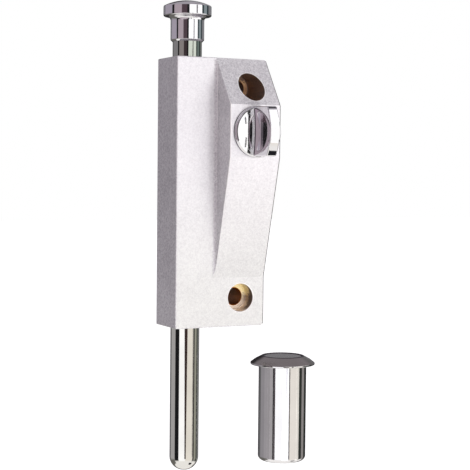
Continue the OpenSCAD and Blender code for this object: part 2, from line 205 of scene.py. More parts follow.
def satin_casting(name="satin_casting", lift=1.0, edge_highlight=0.0):
    """Fine-blasted, silver-lacquered casting, with a painted highlight around the hole mouths."""
    n = Net(name)
    grain = n.noise(1.7, 3.0, 0.62)
    speck = n.noise(0.85, 2.0, 0.6)
    cloud = n.noise(0.07, 2.0, 0.5)
    shade = n.math("ADD", n.remap(grain, 0.3, 0.7, -0.040, 0.040), n.remap(speck, 0.3, 0.7, -0.034, 0.034))
    shade = n.math("ADD", shade, n.remap(cloud, 0.3, 0.7, -0.014, 0.014))
    facing = n.node("ShaderNodeNewGeometry").outputs["True Normal"]
    front = n.math("ABSOLUTE", n.xyz(facing)[1])
    shade = n.math("MULTIPLY", shade, n.remap_clamped(front, 0.86, 0.99, 2.0, 0.75))
    val = n.math("ADD", shade, 0.5)
    tone = [(0.40, (0.60, 0.575, 0.60)), (0.5, (0.75, 0.725, 0.75)), (0.60, (0.88, 0.86, 0.875))]
    col = n.ramp(val, [(p, tuple(min(1.0, c * lift) for c in rgb)) for p, rgb in tone])
    x, y, z, dx, dz, rr = hole_radius(n)
    # painted shade: the front is a little darker and warmer towards the bottom
    painted_shade_low = n.math("MULTIPLY", n.remap_clamped(z, 22.0, -45.0, 0.0, 1.0), n.remap_clamped(front, 0.8, 0.95, 0.0, 1.0))
    col = n.mix(painted_shade_low, col, (0.935, 0.955, 0.92), "MULTIPLY")
    # painted light: the left side is a little lighter towards its foot
    pale = n.math("MULTIPLY", n.remap_clamped(z, 15.0, -50.0, 0.0, 1.0), n.remap_clamped(x, -15.0, -19.0, 0.0, 1.0))
    pale = n.math("MULTIPLY", pale, n.remap_clamped(front, 0.5, 0.2, 0.0, 1.0))
    col = n.mix(pale, col, (1.17, 1.17, 1.17), "MULTIPLY")
    # painted highlight: a pale ring around each hole mouth on the front, and a pale tone over the whole surface as far
    # as the last argument asks
    rim = n.math("MULTIPLY", n.remap_clamped(rr, 5.98, 6.22, 1.0, 0.0), n.remap_clamped(y, -17.5, -18.5, 0.0, 1.0))
    painted_highlight = n.math("MAXIMUM", rim, edge_highlight)
    col = n.mix(painted_highlight, col, (0.98, 0.95, 0.94))
    rough = n.math("SUBTRACT", n.remap(grain, 0.3, 0.7, 0.40, 0.50), n.math("MULTIPLY", painted_highlight, 0.14))
    b = n.bump(n.noise(4.0, 3.0, 0.7), 0.030, 0.55)
    b = n.bump(speck, 0.06, 0.45, b)
    return n.set(color=col, metal=0.5, rough=rough, normal=b, spec=0.5)


def bare_bore():
    """Turned, uncoated metal inside the screw holes: tool rings, a yellow passivation, and painted shade on the right,
    at the ends of the upper hole and deep in the through holes.
    """
    n = Net("bare_bore")
    x, y, z, dx, dz, rr = hole_radius(n)
    turned = n.math("ADD", n.math("MULTIPLY", rr, 1.0), n.math("MULTIPLY", y, 0.9))
    wobble = n.math("ADD", turned, n.math("MULTIPLY", n.noise(0.8, 2.0), 0.35))
    ring = n.math("SINE", n.math("MULTIPLY", wobble, 7.5))
    fine = n.math("SINE", n.math("MULTIPLY", wobble, 23.0))
    r01 = n.remap(ring, -1.0, 1.0, 0.0, 1.0)
    patch = n.noise(0.55, 3.0, 0.6)
    up = n.math("MULTIPLY", dz, n.math("SIGN", z))
    # the yellow film is thick at the top of the hole and thin at the bottom
    high = n.remap_clamped(n.math("ADD", up, n.math("MULTIPLY", n.remap(patch, 0.3, 0.7, -1.0, 1.0), 1.0)), -2.5, 2.0, 0.0, 1.0)
    col = n.mix(high, (1.0, 0.86, 0.74), (0.97, 0.84, 0.50))
    col = n.mix(n.math("MULTIPLY", r01, 0.18), col, (0.60, 0.44, 0.28))
    # a brown tint with painted shade half way up on the right, and a darker painted shade near the mouth there
    streak = n.noise(1.0, 2.0, 0.6, n.stretched((0.8, 0.25, 0.8)))
    brown = n.math("MULTIPLY", n.remap_clamped(n.math("ABSOLUTE", n.math("ADD", up, 0.6)), 0.6, 2.6, 1.0, 0.0), n.remap_clamped(dx, 2.0, 4.8, 0.0, 1.0))
    col = n.mix(n.math("MULTIPLY", brown, n.remap(streak, 0.3, 0.7, 0.35, 0.85)), col, (0.42, 0.31, 0.25))
    line = n.math("ADD", y, n.math("ADD", n.math("MULTIPLY", n.math("MAXIMUM", up, 0.0), 0.5), n.remap(streak, 0.3, 0.7, -0.6, 0.6)))
    right_shade = n.math("MULTIPLY", n.remap_clamped(line, -16.6, -14.9, 0.93, 0.0), n.remap_clamped(dx, 1.4, 4.0, 0.0, 1.0))
    right_shade = n.math("MULTIPLY", right_shade, n.remap_clamped(z, -20.0, -10.0, 1.0, 0.0))
    col = n.mix(right_shade, col, (0.13, 0.10, 0.10))
    # the upper hole is brown, with painted shade on its right and at its top and bottom, and both holes carry painted
    # shade deep inside the through hole
    side = n.math("ADD", dx, n.math("MULTIPLY", n.remap(n.noise(0.9, 2.0), 0.3, 0.7, -1.0, 1.0), 0.9))
    upper = n.remap_clamped(z, -1.0, 1.0, 0.0, 1.0)
    col = n.mix(n.math("MULTIPLY", upper, 0.85), col, (0.92, 0.50, 0.25))
    wall = n.math("MULTIPLY", n.remap_clamped(rr, 5.4, 5.65, 0.12, 1.0), upper)
    col = n.mix(n.math("MULTIPLY", n.remap_clamped(side, 2.8, 4.8, 0.0, 0.9), wall), col, (0.20, 0.165, 0.165))
    top = n.math("ADD", up, n.remap(streak, 0.3, 0.7, -0.7, 0.7))
    painted_shade_ends = n.math("MAXIMUM", n.remap_clamped(top, 2.2, 4.0, 0.0, 0.85), n.remap_clamped(top, -3.0, -4.4, 0.0, 0.8))
    col = n.mix(n.math("MULTIPLY", painted_shade_ends, upper), col, (0.16, 0.11, 0.10))
    # the through hole is reddish brown, darkening with depth as painted shade
    through = n.remap_clamped(rr, 3.75, 3.95, 1.0, 0.0)
    inside = n.mix(n.remap_clamped(y, -12.0, -4.0, 0.0, 1.0), (0.55, 0.18, 0.01), (0.18, 0.06, 0.01))
    col = n.mix(through, col, n.mix(upper, inside, (0.19, 0.075, 0.026)))
    rough = n.remap(patch, 0.3, 0.7, 0.26, 0.42)
    b = n.bump(ring, 0.05, 0.8)
    b = n.bump(fine, 0.02, 0.6, b)
    return n.set(color=col, metal=n.math("ADD", n.math("MULTIPLY", through, 0.4), 0.6), rough=rough, normal=b)


def chrome(name, base=(0.80, 0.79, 0.81), rough=0.035, along=None, top=None):
    """Polished plate with faint polishing marks and a little colour drift. top: another tone above the housing, a
    painted reflection.
    """
    n = Net(name)
    marks = n.noise(1.0, 3.0, 0.6, n.stretched(along or (6.0, 6.0, 0.35)))
    drift = n.noise(0.09, 2.0, 0.5)
    lo = tuple(c * 0.95 for c in base)
    hi = tuple(min(1.0, c * 1.04) for c in base)
    col = n.mix(n.remap(drift, 0.3, 0.7, 0.0, 1.0), lo, hi)
    if top:
        # painted reflection: a darker tone above the housing
        col = n.mix(n.remap_clamped(n.xyz()[2], 45.0, 50.0, 0.0, 1.0), col, top)
    r = n.remap(marks, 0.3, 0.75, rough, rough + 0.045)
    b = n.bump(marks, 0.004, 0.25)
    return n.set(color=col, metal=1.0, rough=r, normal=b)


def steel(name, base=(0.56, 0.56, 0.57), rough=0.32, scale=(9.0, 9.0, 0.6)):
    n = Net(name)
    lines = n.noise(1.0, 3.0, 0.6, n.stretched(scale))
    patch = n.noise(0.35, 3.0, 0.6)
    col = n.mix(n.remap(lines, 0.3, 0.7, 0.0, 1.0), tuple(c * 0.86 for c in base), tuple(min(1, c * 1.12) for c in base))
    col = n.mix(n.remap(patch, 0.4, 0.8, 0.0, 0.25), col, tuple(c * 0.75 for c in base))
    r = n.remap(patch, 0.3, 0.7, rough - 0.06, rough + 0.1)
    return n.set(color=col, metal=1.0, rough=r, normal=n.bump(lines, 0.01, 0.5))


def zinc_plate():
    """Bright zinc plating: pale, slightly blue, with soft spangle."""
    n = Net("zinc_plate")
    v = n.node("ShaderNodeTexVoronoi")
    n.link(n.pos(), v.inputs["Vector"])
    v.inputs["Scale"].default_value = 0.55
    sp = n.remap(v.outputs["Distance"], 0.0, 0.9, 0.0, 1.0)
    fine = n.noise(2.5, 3.0, 0.6)
    col = n.mix(sp, (0.58, 0.60, 0.62), (0.70, 0.71, 0.72))
    col = n.mix(n.remap(fine, 0.35, 0.7, 0.0, 0.35), col, (0.50, 0.52, 0.55))
    r = n.remap(fine, 0.3, 0.7, 0.30, 0.44)
    return n.set(color=col, metal=1.0, rough=r, normal=n.bump(fine, 0.012, 0.5))


def acetal():
    n = Net("acetal")
    x, y, z = n.xyz()
    rings = n.math("SINE", n.math("MULTIPLY", z, 18.0))
    fine = n.noise(1.6, 3.0, 0.6)
    col = n.mix(n.remap(fine, 0.3, 0.7, 0.0, 1.0), (0.78, 0.77, 0.72), (0.86, 0.85, 0.81))
    b = n.bump(rings, 0.01, 0.4)
    b = n.bump(fine, 0.01, 0.4, b)
    return n.set(color=col, metal=0.0, rough=n.remap(fine, 0.3, 0.7, 0.38, 0.52), normal=b)


def bronze():
    """Sintered bronze: fine pores and a dull brown-gold."""
    n = Net("sintered_bronze")
    pores = n.noise(4.5, 3.0, 0.7)
    patch = n.noise(0.5, 2.0, 0.5)
    col = n.mix(n.remap(pores, 0.35, 0.65, 0.0, 1.0), (0.36, 0.25, 0.13), (0.66, 0.50, 0.30))
    col = n.mix(n.remap(patch, 0.4, 0.7, 0.0, 0.4), col, (0.50, 0.38, 0.24))
    return n.set(color=col, metal=1.0, rough=n.remap(pores, 0.3, 0.7, 0.42, 0.6), normal=n.bump(pores, 0.02, 0.8))


def spring_wire():
    n = Net("spring_wire")
    lines = n.noise(1.0, 2.0, 0.6, n.stretched((3.0, 3.0, 3.0)))
    col = n.mix(n.remap(lines, 0.3, 0.7, 0.0, 1.0), (0.30, 0.30, 0.32), (0.52, 0.52, 0.54))
    return n.set(color=col, metal=1.0, rough=n.remap(lines, 0.3, 0.7, 0.25, 0.42), normal=n.bump(lines, 0.01, 0.4))


M = {
    "casting": satin_casting(),
    # a lighter copy for the wedge's rounded left edge: a painted highlight
    "casting_edge_highlight": satin_casting("satin_casting_edge", 1.1, 0.75),
    # a darker copy for the wedge's wall: painted shade
    "casting_wall_shade": satin_casting("satin_casting_wall", 0.865),
    # dark steel for the rounded right edge: a painted dark reflection
    "casting_rim_dark_reflection": steel("painted_dark_edge", base=(0.13, 0.13, 0.125), rough=0.30, scale=(3.0, 3.0, 3.0)),
    "bore": bare_bore(),
    "chrome": chrome("chrome"),
    "chrome_rod_painted_top": chrome("chrome_rod_painted_top", base=(0.76, 0.75, 0.73), top=(0.47, 0.50, 0.44)),
    "chrome_turn": chrome("chrome_turn", along=(5.0, 0.5, 5.0)),
    # a dark steel for painted shade in creases and at edges
    "crease_shade": steel("crease_shade", base=(0.10, 0.085, 0.10), rough=0.4),
    # a dark steel for a painted dark reflection line
    "groove": steel("groove", base=(0.15, 0.14, 0.15), rough=0.4),
    "flange": chrome("dark_chrome", base=(0.41, 0.38, 0.365), rough=0.16, along=(5.0, 5.0, 5.0)),
    "plunger": steel("satin_steel", base=(0.60, 0.57, 0.57), rough=0.26, scale=(3.0, 3.0, 3.0)),
    "steel": steel("plain_steel"),
    "zinc": zinc_plate(),
    "acetal": acetal(),
    "bronze": bronze(),
    "wire": spring_wire(),
}


# ------------------------------------------------------------------ mesh helpers
def arc_path(points, step=6.0):
    """A profile from corner points (r, z, corner radius), with true arcs at the corners."""
    out = []
    n = len(points)
    for i, p in enumerate(points):
        q = Vector(p[:2])
        rad = p[2] if len(p) > 2 else 0.0
        if rad <= 0 or i in (0, n - 1):
            out.append((q.x, q.y))
            continue
        a, b = Vector(points[i - 1][:2]), Vector(points[i + 1][:2])
        u, v = (a - q).normalized(), (b - q).normalized()
        ang = u.angle(v)
        cut = rad / math.tan(ang / 2)
        s, e = q + u * cut, q + v * cut
        mid = (u + v).normalized()
        c = q + mid * (rad / math.sin(ang / 2))
        a0 = math.atan2(s.y - c.y, s.x - c.x)
        a1 = math.atan2(e.y - c.y, e.x - c.x)
        d = (a1 - a0 + math.pi) % (2 * math.pi) - math.pi
        k = max(2, int(abs(math.degrees(d)) / step))
        for j in range(k + 1):
            t = a0 + d * j / k
            out.append((c.x + rad * math.cos(t), c.y + rad * math.sin(t)))
    clean = [out[0]]
    for p in out[1:]:
        if math.hypot(p[0] - clean[-1][0], p[1] - clean[-1][1]) > 1e-5:
            clean.append(p)
    return clean


def new_object(name, verts, faces, material, normals=None, smooth=True):
    me = bpy.data.meshes.new(name)
    me.from_pydata([tuple(v) for v in verts], [], faces)
    me.validate()
    me.update()
    me.polygons.foreach_set("use_smooth", [smooth] * len(me.polygons))
    if normals is not None:
        me.normals_split_custom_set_from_vertices([tuple(x) for x in normals])
    me.materials.append(material)
    ob = bpy.data.objects.new(name, me)
    scene.collection.objects.link(ob)
    return ob


def lathe(name, profile, cx, cy, material, n=144, closed=False, axis="Z", at=(0, 0, 0)):
    """Turns a profile of (r, z) in mm about an axis. The outside is on the right of the way it runs."""
    p = np.array(profile, float)
    k = len(p)
    seg = np.diff(p, axis=0)
    if closed:
        seg = np.vstack([seg, p[0] - p[-1]])
    length = np.hypot(seg[:, 0], seg[:, 1])
    sn = np.stack([seg[:, 1], -seg[:, 0]], 1) / np.maximum(length[:, None], 1e-9)
    vn = np.zeros((k, 2))
    for i in range(k):
        if closed:
            a, b = (i - 1) % k, i
        else:
            a, b = max(i - 1, 0), min(i, k - 2)
        v = sn[a] * length[a] + sn[b] * length[b]
        vn[i] = v / max(np.hypot(*v), 1e-9)
    verts, normals, rows = [], [], []
    for i in range(k):
        r, z = p[i]
        if r < 1e-6:
            rows.append([len(verts)])
            verts.append((0, 0, z))
            normals.append((0, 0, 1 if vn[i][1] > 0 else -1))
        else:
            row = []
            for j in range(n):
                t = 2 * math.pi * j / n
                row.append(len(verts))
                verts.append((r * math.cos(t), r * math.sin(t), z))
                normals.append((vn[i][0] * math.cos(t), vn[i][0] * math.sin(t), vn[i][1]))
            rows.append(row)
    faces = []
    pairs = [(i, i + 1) for i in range(k - 1)] + ([(k - 1, 0)] if closed else [])
    for i, i2 in pairs:
        a, b = rows[i], rows[i2]
        for j in range(n):
            j2 = (j + 1) % n
            if len(a) == 1 and len(b) == 1:
                continue
            if len(a) == 1:
                faces.append((a[0], b[j2], b[j]))
            elif len(b) == 1:
                faces.append((a[j], a[j2], b[0]))
            else:
                faces.append((a[j], a[j2], b[j2], b[j]))
    V = np.array(verts)
    Nn = np.array(normals)
    if axis == "Z":
        W = np.stack([V[:, 0] + cx, V[:, 1] + cy, V[:, 2]], 1)
        NW = Nn
    else:  # local z runs out of the flat face, towards -Y; local y is up
        W = np.stack([V[:, 0] + at[0], at[1] - V[:, 2], V[:, 1] + at[2]], 1)
        NW = np.stack([Nn[:, 0], -Nn[:, 2], Nn[:, 1]], 1)
    return new_object(name, W * MM, faces, material, NW)


def cuboid(lo, hi):
    xs = [(lo[0], hi[0]), (lo[1], hi[1]), (lo[2], hi[2])]
    v = [(x, y, z) for x in xs[0] for y in xs[1] for z in xs[2]]
    f = [(0, 1, 3, 2), (4, 6, 7, 5), (0, 4, 5, 1), (2, 3, 7, 6), (0, 2, 6, 4), (1, 5, 7, 3)]
    me = bpy.data.meshes.new("cutter")
    me.from_pydata([tuple(c * MM for c in p) for p in v], [], f)
    me.update()
    ob = bpy.data.objects.new("cutter", me)
    scene.collection.objects.link(ob)
    return ob


def combine(ob, others, op):
    """Applies booleans and leaves plain mesh data."""
    for o in others:
        m = ob.modifiers.new("b", "BOOLEAN")
        m.operation = op
        m.solver = "EXACT"
        m.object = o
    dg = bpy.context.evaluated_depsgraph_get()
    me = bpy.data.meshes.new_from_object(ob.evaluated_get(dg))
    ob.modifiers.clear()
    old = ob.data
    ob.data = me
    bpy.data.meshes.remove(old)
    for o in others:
        bpy.data.objects.remove(o)
    return ob


def corner_normals(ob, rule):
    """Sets each face corner's normal by a rule(face centre, face normal, point) in mm; None keeps the face's own."""
    me = ob.data
    me.polygons.foreach_set("use_smooth", [True] * len(me.polygons))
    out = [None] * len(me.loops)
    for p in me.polygons:
        c = p.center / MM
        for li in p.loop_indices:
            v = me.vertices[me.loops[li].vertex_index].co / MM
            out[li] = rule(c, p.normal, v) or tuple(p.normal)
    me.normals_split_custom_set(out)


def coil(name, cx, cy, r, wire, z0, z1, turns, material, seg=36, side=12):
    def height(t):
        w = 2 * wire + 0.06
        a, b = z0 + wire, z1 - wire
        if t < 1:
            return a + t * w
        if t > turns - 1:
            return b - (turns - t) * w
        return a + w + (t - 1) / (turns - 2) * (b - a - 2 * w)
    verts, normals, faces = [], [], []
    steps = turns * seg
    for i in range(steps + 1):
        t = i / seg
        a = 2 * math.pi * t
        for k in range(side):
            b = 2 * math.pi * k / side
            rr = r + wire * math.cos(b)
            verts.append(((cx + rr * math.cos(a)) * MM, (cy + rr * math.sin(a)) * MM, (height(t) + wire * math.sin(b)) * MM))
            normals.append((math.cos(b) * math.cos(a), math.cos(b) * math.sin(a), math.sin(b)))
    for i in range(steps):
        for k in range(side):
            k2 = (k + 1) % side
            faces.append((i * side + k, (i + 1) * side + k, (i + 1) * side + k2, i * side + k2))
    faces.append(tuple(range(side)))
    faces.append(tuple(steps * side + k for k in reversed(range(side))))
    return new_object(name, verts, faces, material)


def smooth_over(start, end, x):
    t = np.clip((x - start) / (end - start), 0, 1)
    return t * t * (3 - 2 * t)


# ------------------------------------------------------------------ push knob
def dome_points(r0, apex, radius, count=26):
    """Dome from radius r0 to the axis."""
    c = apex - radius
    return [(r0 * (1 - i / count), c + math.sqrt(radius ** 2 - (r0 * (1 - i / count)) ** 2)) for i in range(1, count + 1)]


def push_knob():
    rim = NECK_Z + 10.3
    apex = NECK_Z + 16.8
    head = 9.85
    top_edge = (apex - 22) + math.sqrt(22 ** 2 - head ** 2)
    slope_r = head - 0.9
    slope_z = (apex - 22) + math.sqrt(22 ** 2 - slope_r ** 2)
    low = arc_path([(3.0, NECK_Z + 12.2, 0), (3.0, NECK_Z + 4.0, 0), (6.0, NECK_Z + 4.0, 0.1), (6.0, NECK_Z, 0.25),
                    (6.2, NECK_Z, 0.12), (6.9, NECK_Z + 0.75, 0.3), (6.9, rim, 1.85), (head, rim, 0.5), (head, top_edge, 0.65), (slope_r, slope_z, 0)])
    path = [(0.0, NECK_Z + 12.2)] + low + dome_points(slope_r, apex, 22)
    return lathe("push_knob_polished", path, RX, RY, M["chrome"])


knob = push_knob()
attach(knob, "bolt")
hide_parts("push_knob")


# ------------------------------------------------------------------ bolt rod
def bolt_rod():
    path = arc_path([(0, TIP_Z, 0), (6.0, TIP_Z, 5.6), (6.0, -4.45, 0.12), (5.6, -4.45, 0.1), (5.6, -3.35, 0.1),
                     (6.0, -3.35, 0.12), (6.0, NECK_Z + 4, 0.3), (3.0, NECK_Z + 4, 0.1), (3.0, NECK_Z - 6, 0.1), (0, NECK_Z - 6, 0)], step=4)
    ob = lathe("bolt_rod_polished", path, RX, RY, M["chrome_rod_painted_top"], n=160)
    cuts = [cuboid((-8.6, RY - 8, 17.2 + h), (-0.6, RY + 8, 23.8 + h)) for h in (0, 15)]
    cuts.append(cuboid((RX - 1.65, RY + 3, 28.2), (RX + 1.65, RY + 11, 46.8)))
    combine(ob, cuts, "DIFFERENCE")

    def rule(c, n, v):
        d = Vector((v.x - RX, v.y - RY))
        rc = math.hypot(c.x - RX, c.y - RY)
        if c.z < TIP_Z + 5.6:
            if rc < 0.35:
                return (0, 0, -1)
            q = Vector((d.length - 0.4, v.z - (TIP_Z + 5.6))).normalized()
            u = d.normalized()
            return (u.x * q.x, u.y * q.x, q.y)
        if abs(n.z) < 0.1 and rc > 5.9 and d.length > 5.9:
            u = d.normalized()
            return (u.x, u.y, 0)
        return None

    corner_normals(ob, rule)
    return ob


rod = bolt_rod()
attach(rod, "bolt")
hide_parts("bolt_rod")


# ------------------------------------------------------------------ thumbturn
WING_L, WING_T, WING_P, BASE_T, BASE_R = 19.8, 4.3, 15.4, 2.6, 10.45
DOME_R = 45.0


def dome_height(rho):
    """Height of the base's domed front at a distance from the axis."""
    return BASE_T - DOME_R + np.sqrt(DOME_R ** 2 - np.asarray(rho) ** 2)


def wing_front(y):
    """How far the wing's front stands out at height y."""
    return WING_P - 17.3 + np.sqrt(17.3 ** 2 - y ** 2)


# the finger scoop's slope along the wing, from its foot to its front, and the depth that follows from it
SCOOP_Z = np.linspace(3.3, 13.2, 400)
SCOOP_SLOPE = np.interp(SCOOP_Z, [3.3, 3.7, 5.2, 5.8, 6.2, 7.6, 8.8, 13.2], [0.0, 0.34, 0.34, 0.0, -0.04, -0.05, -0.085, -0.11])
SCOOP_D = np.concatenate([[0.0], np.cumsum((SCOOP_SLOPE[1:] + SCOOP_SLOPE[:-1]) / 2 * np.diff(SCOOP_Z))])


def wing_scoop(y, z):
    """Depth of the D-shaped finger scoop in the wing's side."""
    bowl = np.maximum(np.interp(z, SCOOP_Z, SCOOP_D, left=0.0, right=0.0), 0)
    edge = 8.0 - np.sqrt(y ** 2 + (z - 5.0) ** 2)            # inside the round side of the D
    wall = np.clip(edge / 0.5, 0, 1)
    return bowl * wall * wall * (3 - 2 * wall)


def thumbturn():
    r = 0.42
    foot = 0.3
    half = WING_L / 2
    ys = []
    for i in range(9):                       # rounded ends
        ys.append(-half + r * (1 - math.cos(math.pi / 2 * i / 8)))
    ys += list(np.linspace(-half + r, half - r, 160)[1:-1])
    ys += [-y for y in reversed(ys[:9])]
    ys = np.array(ys)
    sections = []
    for y in ys:
        d = half - abs(y)
        inset = 0.0 if d >= r else r - math.sqrt(max(r * r - (r - d) ** 2, 0))
        h = WING_T / 2 - inset
        front = float(wing_front(min(abs(y), half))) - inset
        base = float(dome_height(math.hypot(WING_T / 2, y)))
        zs = np.concatenate([[0.6], np.linspace(base - 0.12, base + 0.40, 14), np.linspace(base + 0.46, front - r, 110)])
        rise = np.clip(zs - base, 0, foot)
        flare = np.minimum(foot - np.sqrt(np.maximum(foot ** 2 - (foot - rise) ** 2, 0)), 0.24)
        flare = flare * float(np.clip((d - 0.5) / 0.5, 0, 1))
        side = h + flare - wing_scoop(y, zs) * (1.0 if d > 0.3 else 0.0)
        pts = [(-s, z) for s, z in zip(side, zs)]
        hh = h
        for k in range(1, 9):
            a = math.pi / 2 * k / 8
            pts.append((-(hh - r + r * math.cos(a)), front - r + r * math.sin(a)))
        for k in range(1, 12):
            pts.append((-(hh - r) * (1 - 2 * k / 12), front))
        pts += [(-x, z) for x, z in reversed(pts[:len(zs) + 8])]
        sections.append(pts)
    m = len(sections[0])
    verts = [(TX - 0.05 + x, TY - z, TZ + y) for y, s in zip(ys, sections) for x, z in s]
    faces = []
    for i in range(len(ys) - 1):
        for j in range(m - 1):
            a = i * m + j
            faces.append((a, a + 1, a + m + 1, a + m))
        faces.append((i * m + m - 1, i * m, (i + 1) * m, (i + 1) * m + m - 1))
    faces.append(tuple(reversed(range(m))))
    faces.append(tuple((len(ys) - 1) * m + j for j in range(m)))
    wing = new_object("thumbturn_polished", np.array(verts) * MM, faces, M["chrome_turn"])
    bm = bmesh.new()
    bm.from_mesh(wing.data)
    bmesh.ops.recalc_face_normals(bm, faces=bm.faces)
    bm.to_mesh(wing.data)
    bm.free()
    near = BASE_R - 0.95
    outline = arc_path([(0, 1.9, 0), (4.0, 1.9, 0), (4.0, 0, 0.15), (BASE_R, 0, 0.2), (BASE_R, float(dome_height(BASE_R)), 0.9),
                        (near, float(dome_height(near)), 0)])
    base = lathe("base", outline + dome_points(near, BASE_T, DOME_R, 40), 0, 0, M["chrome_turn"], n=192, axis="Y", at=(TX, TY, TZ))
    combine(base, [wing], "UNION")
    base.name = "thumbturn_polished"
    me = base.data
    me.polygons.foreach_set("use_smooth", [True] * len(me.polygons))
    me.set_sharp_from_angle(angle=math.radians(38))
    # the dome takes its true normals, the wing those of its fine mesh
    corner = [Vector(c.vector) for c in me.corner_normals]
    centre = Vector((TX, TY + DOME_R - BASE_T, TZ))
    for p in me.polygons:
        if all(abs((me.vertices[v].co / MM - centre).length - DOME_R) < 0.012 for v in p.vertices):
            for li in p.loop_indices:
                corner[li] = (me.vertices[me.loops[li].vertex_index].co / MM - centre).normalized()
    me.normals_split_custom_set([tuple(c) for c in corner])
    # painted shade in the crease at the wing's foot, at the foot of the base's side and on the wing's right front edge
    me.materials.append(M["crease_shade"])
    me.materials.append(M["groove"])
    for p in me.polygons:
        c = p.center / MM
        dx, dz = c.x - TX, c.z - TZ
        rise = (c - centre).length - DOME_R
        wall = math.hypot(dx, dz) > BASE_R - 0.22 and TY - c.y < 0.62
        # the wing's right front edge, with painted shade towards its ends
        edge = p.normal.x > 0.12 and p.normal.y < -0.12 and TY - c.y > wing_front(min(abs(dz), 9.9)) - 0.44 and (dz > 6.0 or dz < -3.4)
        if wall or edge or (0.012 < rise < 0.27 and abs(dx + 0.05) < 2.75 and abs(dz) < 9.6):
            p.material_index = 1
        elif rise < 0.02 and c.y < TY - 0.9 and 9.5 < math.hypot(dx, dz) < 9.97 and (104 < math.degrees(math.atan2(dz, dx)) % 360 < 203):
            p.material_index = 2           # a painted dark reflection line along part of the base's rim
    return base


knob_turn = thumbturn()
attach(knob_turn, "turn")
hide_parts("turn_knob")


# ------------------------------------------------------------------ floor socket
MOUTH_Z = SZ + 45.2
FLANGE_Z = MOUTH_Z - 3.0


def socket():
    e = FLANGE_Z - 0.8
    cup = lathe("socket_cup_shell", arc_path([(0, SZ, 0), (10.25, SZ, 2.0), (10.25, e, 0.1), (9.85, e + 0.4, 0.05), (9.3, e + 0.4, 0.05),
                                              (9.3, SZ + 2, 0.3), (0, SZ + 2, 0)]), SX, SY, M["chrome"])
    outer = 13.85
    fall = (MOUTH_Z - 0.02 - (FLANGE_Z + 1.45)) / (outer - 2.0 - 8.95)
    pts = arc_path([(8.3, e - 5, 0.15), (9.3, e - 5, 0.15), (9.3, e + 0.4, 0.05), (10.25, e + 0.4, 0.05), (10.25, e, 0.05),
                    (outer, e, 0.3), (outer, FLANGE_Z - 0.05, 0.35),
                    (outer - 2.0, FLANGE_Z + 1.45, 6.0), (9.35, MOUTH_Z - 0.02 - 0.4 * fall, 0), (8.95, MOUTH_Z - 0.02, 0.5),
                    (8.3, MOUTH_Z - 0.05, 0.22), (8.3, MOUTH_Z - 0.6, 0), (8.3, e - 4, 0)])
    flange = lathe("socket_flange_ring", pts, SX, SY, M["flange"], closed=True)
    top = MOUTH_Z - 0.4
    p0 = top - 10.2
    disc = lathe("plunger_disc", arc_path([(0, top - 2, 0), (7.0, top - 2, 0.4), (7.0, p0, 0.1), (9.2, p0, 0.2), (9.2, p0 + 1.5, 0.2),
                                           (8.25, p0 + 1.5, 0.1), (8.25, top, 0.45), (0, top, 0)]), SX, SY, M["plunger"])
    return cup, flange, disc


cup, flange, disc = socket()
flange.data.materials.append(M["chrome"])
flange.data.materials.append(M["crease_shade"])
for p in flange.data.polygons:
    c = p.center / MM
    r = math.hypot(c.x - SX, c.y - SY)
    # bright chrome on the flange's outer edge and underside: a painted highlight
    if r > 13.3 and c.z < FLANGE_Z - 0.12:
        p.material_index = 1
    elif r < 9.34 and c.z > MOUTH_Z - 0.6:              # painted shade on the edge of the mouth
        p.material_index = 2
for ob, body, node, slot in ((cup, "housing", "socket_cup", "chrome"), (flange, "housing", "socket_flange", "dark_chrome"),
                             (disc, "plunger", "socket_plunger", "satin_steel")):
    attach(ob, body)
    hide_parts(node)

# ------------------------------------------------------------------ springs
main_spring = coil("return_coil", RX, RY, 6.86, 0.5, -43.88, -5.42, 13, M["wire"])
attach(main_spring, "housing")
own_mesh(main_spring)
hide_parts("return_spring")
small_spring = coil("socket_coil", SX, SY, 6.0, 0.4, SZ + 2.02, MOUTH_Z - 0.4 - 2.02, 15, M["wire"])
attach(small_spring, "housing")
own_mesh(small_spring)
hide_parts("socket_spring")

# ------------------------------------------------------------------ materials of the pieces kept from the frame
FINISH = {
    "housing": "casting", "back_plate": "zinc", "back_plate_screws": "zinc", "upper_bush": "acetal", "lower_bush": "acetal",
    "bush_pin": "steel", "guide_pin": "steel", "wave_washer": "wire", "spring_seat": "zinc", "knob_stud": "steel",
    "retaining_ring": "wire", "spring_washer": "zinc", "turn_spindle": "steel", "crank_disc": "zinc", "crank_pin": "steel",
    "crank_screw": "zinc", "latch_bolt": "bronze", "push_knob": "chrome", "bolt_rod": "chrome", "turn_knob": "chrome_turn",
    "socket_cup": "chrome", "socket_flange": "flange", "socket_plunger": "plunger", "return_spring": "wire", "socket_spring": "wire",
}
for name, key in FINISH.items():
    ob = nodes[name]
    ob.data.materials.clear()
    ob.data.materials.append(M[key])

house = nodes["housing"]
house.data.materials.append(M["bore"])
house.data.materials.append(M["casting_edge_highlight"])
house.data.materials.append(M["casting_wall_shade"])
house.data.materials.append(M["casting_rim_dark_reflection"])
for p in house.data.polygons:
    c = p.center / MM
    r = math.hypot(c.x - HOLE_X, abs(c.z) - HOLE_Z)
    n = p.normal
    radial = abs(n.y) < 0.3 and r < 5.8
    shoulder = abs(n.y) > 0.9 and r < 5.7 and -18 < c.y < -2
    rounded = c.x < -2.2 and c.x > -2.8 and c.y < -19.8 and -0.97 < n.x < -0.12
    if radial or shoulder:
        p.material_index = 1
    # painted highlight along the wedge's rounded left edge
    elif rounded:
        p.material_index = 2
    # painted shade on the wedge's wall
    elif n.x < -0.95 and -3.2 < c.x < -2.2 and c.y < -19.8:
        p.material_index = 3
    elif c.x > 19.0 and n.x > 0.06 and n.y < -0.1:      # the rounded right edge: dark steel, a painted dark reflection
        p.material_index = 4

